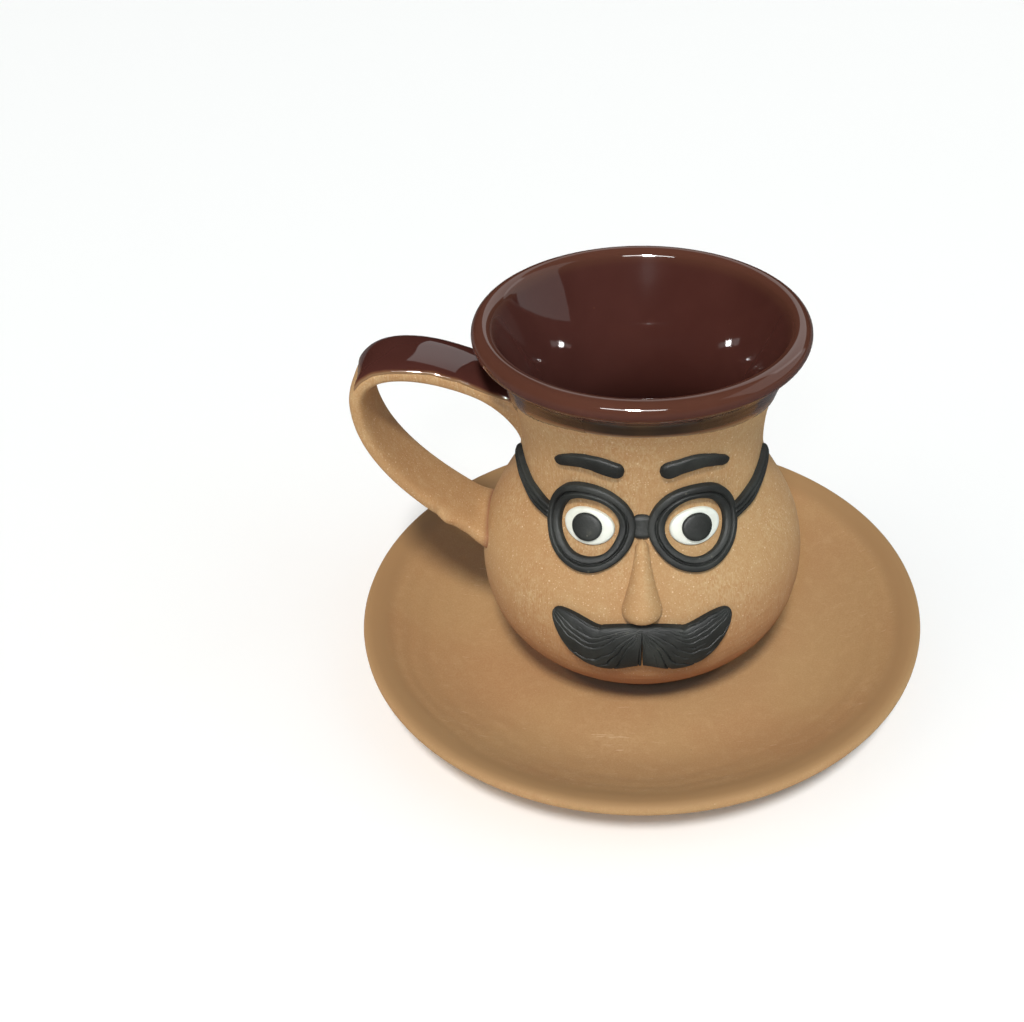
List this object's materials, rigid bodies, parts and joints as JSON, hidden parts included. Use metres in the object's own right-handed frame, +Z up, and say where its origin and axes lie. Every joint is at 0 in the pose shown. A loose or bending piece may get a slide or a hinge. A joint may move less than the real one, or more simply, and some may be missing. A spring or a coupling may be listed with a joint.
{
  "type": "coffee cup and saucer",
  "caption": "Pot-bellied terracotta coffee cup with a glazed lip and lining, strap handle and an applied clay face with spectacles and moustache, standing on a shallow saucer.",
  "frame": {"origin": "centre of the saucer's foot ring, on the table", "axes": "+Z up along the cup's axis, the face looks along -Y, the handle reaches along -X"},
  "size_m": [0.1126, 0.1126, 0.0771],
  "materials": {
    "terracotta": "matte unglazed terracotta",
    "saucer_clay": "matte unglazed terracotta, smoothed",
    "brown_glaze": "glossy dark maroon-brown glaze",
    "black_clay": "matte black clay",
    "eye_white": "satin white slip"
  },
  "bodies": {
    "saucer": {"saucer": "saucer_clay"},
    "cup": {"cup_body": "terracotta", "glaze_lining": "brown_glaze", "handle": "terracotta", "handle_glaze": "brown_glaze", "nose": "terracotta", "spectacle_bridge": "black_clay", "eye_white_left": "eye_white", "iris_left": "black_clay", "spectacle_rim_left": "black_clay", "temple_left": "black_clay", "brow_left": "black_clay", "moustache_left": "black_clay", "eye_white_right": "eye_white", "iris_right": "black_clay", "spectacle_rim_right": "black_clay", "temple_right": "black_clay", "brow_right": "black_clay", "moustache_right": "black_clay"}
  },
  "joints": [
    {"name": "cup_lift", "type": "slide", "parent": "saucer", "child": "cup", "axis": [0, 0, 1], "range_m": [0, 0.08]}
  ]
}
